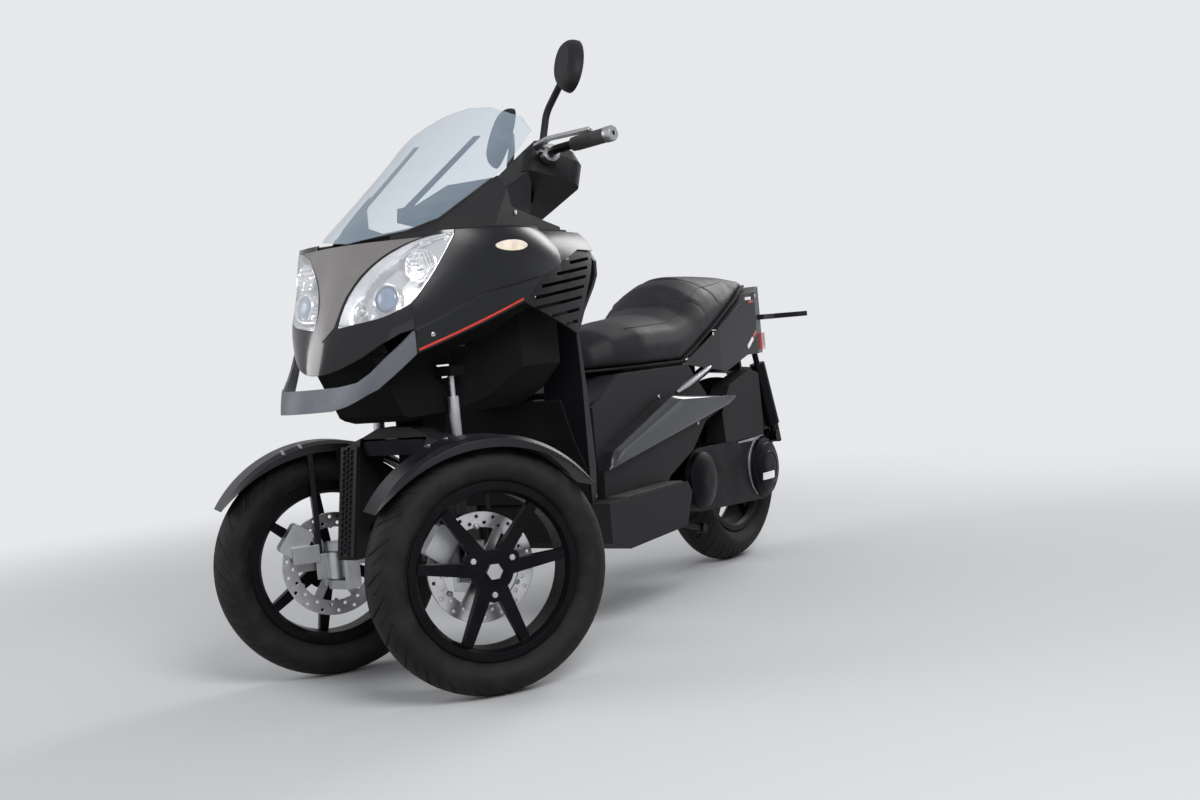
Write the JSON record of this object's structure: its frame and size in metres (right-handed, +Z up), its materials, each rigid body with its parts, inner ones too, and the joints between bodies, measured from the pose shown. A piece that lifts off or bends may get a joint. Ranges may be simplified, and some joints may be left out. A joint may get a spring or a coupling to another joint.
{
  "type": "reverse trike",
  "caption": "Tilting scooter with paired steered front wheels, a rear drive wheel, windscreen, stepped seat and twin headlamps.",
  "frame": {"origin": "centre of the bounding box at floor level", "axes": "+Z up, +Y towards the rear of the vehicle, +X to its left"},
  "size_m": [0.8792, 2.238, 1.4764],
  "materials": {
    "body_paint": "satin",
    "black_plastic": "matte",
    "grey_plastic": "satin",
    "black_metal": "satin",
    "silver_metal": "cast",
    "disc_steel": "brushed",
    "tyre": "matte",
    "rubber": "matte",
    "seat_cover": "matte",
    "screen": "clear",
    "lamp": "clear",
    "red_lens": "glossy",
    "dark_trim": "glossy"
  },
  "bodies": {
    "chassis": {"air_box": "black_plastic", "arch_liner": "black_plastic", "belly_pan": "black_plastic", "centre_tunnel": "black_plastic", "drive_case": "black_metal", "engine_block": "black_metal", "footboards": "black_plastic", "frame_backbone": "black_metal", "frame_rails": "black_metal", "front_tower": "black_metal", "grab_rails": "grey_plastic", "headlights": "lamp", "instrument_panel": "dark_trim", "kingpin_forks": "silver_metal", "leg_grilles": "black_plastic", "leg_shield": "body_paint", "legs": "black_plastic", "louvre_panels": "black_plastic", "muffler": "black_metal", "nose_fairing": "body_paint", "nose_lip": "grey_plastic", "rear_mudguard": "black_plastic", "rear_shocks": "black_metal", "screen_cowl": "black_plastic", "screen_rails": "black_metal", "side_fairings": "body_paint", "side_panels": "black_plastic", "storage_tub": "black_plastic", "swing_arm": "black_metal", "tail_fairing": "body_paint", "tail_lamps": "red_lens", "tilt_arms": "black_metal", "tilt_cylinders": "silver_metal", "turn_signals": "lamp", "windscreen": "screen"},
    "handlebar_body": {"steering_stem": "black_metal", "handlebar": "black_metal", "grips": "rubber", "bar_cover": "black_plastic", "brake_levers": "disc_steel", "mirrors": "dark_trim"},
    "knuckle_left_body": {"knuckle_left": "silver_metal", "caliper_left": "silver_metal", "fender_left": "body_paint"},
    "knuckle_right_body": {"knuckle_right": "silver_metal", "caliper_right": "silver_metal", "fender_right": "body_paint"},
    "wheel_front_left": {"tyre_front_left": "tyre", "rim_front_left": "black_metal", "disc_front_left": "disc_steel"},
    "wheel_front_right": {"tyre_front_right": "tyre", "rim_front_right": "black_metal", "disc_front_right": "disc_steel"},
    "wheel_rear": {"tyre_rear": "tyre", "rim_rear": "black_metal", "disc_rear": "disc_steel"},
    "seat": {"seat_pan": "black_plastic", "seat_cushion": "seat_cover"},
    "stand": {"centre_stand": "black_metal"}
  },
  "joints": [
    {"name": "steering", "type": "hinge", "parent": "chassis", "child": "handlebar_body", "pos_m": [0, -0.221, 1.155], "axis": [0, 0.3746, 0.9272], "range_deg": [-1.2, 68.8]},
    {"name": "steer_left", "type": "hinge", "parent": "chassis", "child": "knuckle_left_body", "pos_m": [0.205, -0.827, 0.266], "axis": [0, 0, 1], "range_deg": [-1.2, 68.8]},
    {"name": "steer_right", "type": "hinge", "parent": "chassis", "child": "knuckle_right_body", "pos_m": [-0.205, -0.827, 0.266], "axis": [0, 0, 1], "range_deg": [-1.2, 68.8]},
    {"name": "spin_front_left", "type": "hinge", "parent": "knuckle_left_body", "child": "wheel_front_left", "pos_m": [0.26317, -0.86594, 0.266], "axis": [0.831, -0.5563, 0], "continuous": true},
    {"name": "spin_front_right", "type": "hinge", "parent": "knuckle_right_body", "child": "wheel_front_right", "pos_m": [-0.26317, -0.78806, 0.266], "axis": [-0.831, 0.5563, 0], "continuous": true},
    {"name": "spin_rear", "type": "hinge", "parent": "chassis", "child": "wheel_rear", "pos_m": [0, 0.733, 0.288], "axis": [1, 0, 0], "continuous": true},
    {"name": "seat_hinge", "type": "hinge", "parent": "chassis", "child": "seat", "pos_m": [0, -0.092, 0.648], "axis": [1, 0, 0], "range_deg": [0, 55]},
    {"name": "stand_hinge", "type": "hinge", "parent": "chassis", "child": "stand", "pos_m": [0, 0.258, 0.19], "axis": [-1, 0, 0], "range_deg": [0, 63]}
  ],
  "couplings": [
    {"joint": "steer_left", "follows": "steering", "ratio": 1},
    {"joint": "steer_right", "follows": "steering", "ratio": 1}
  ]
}
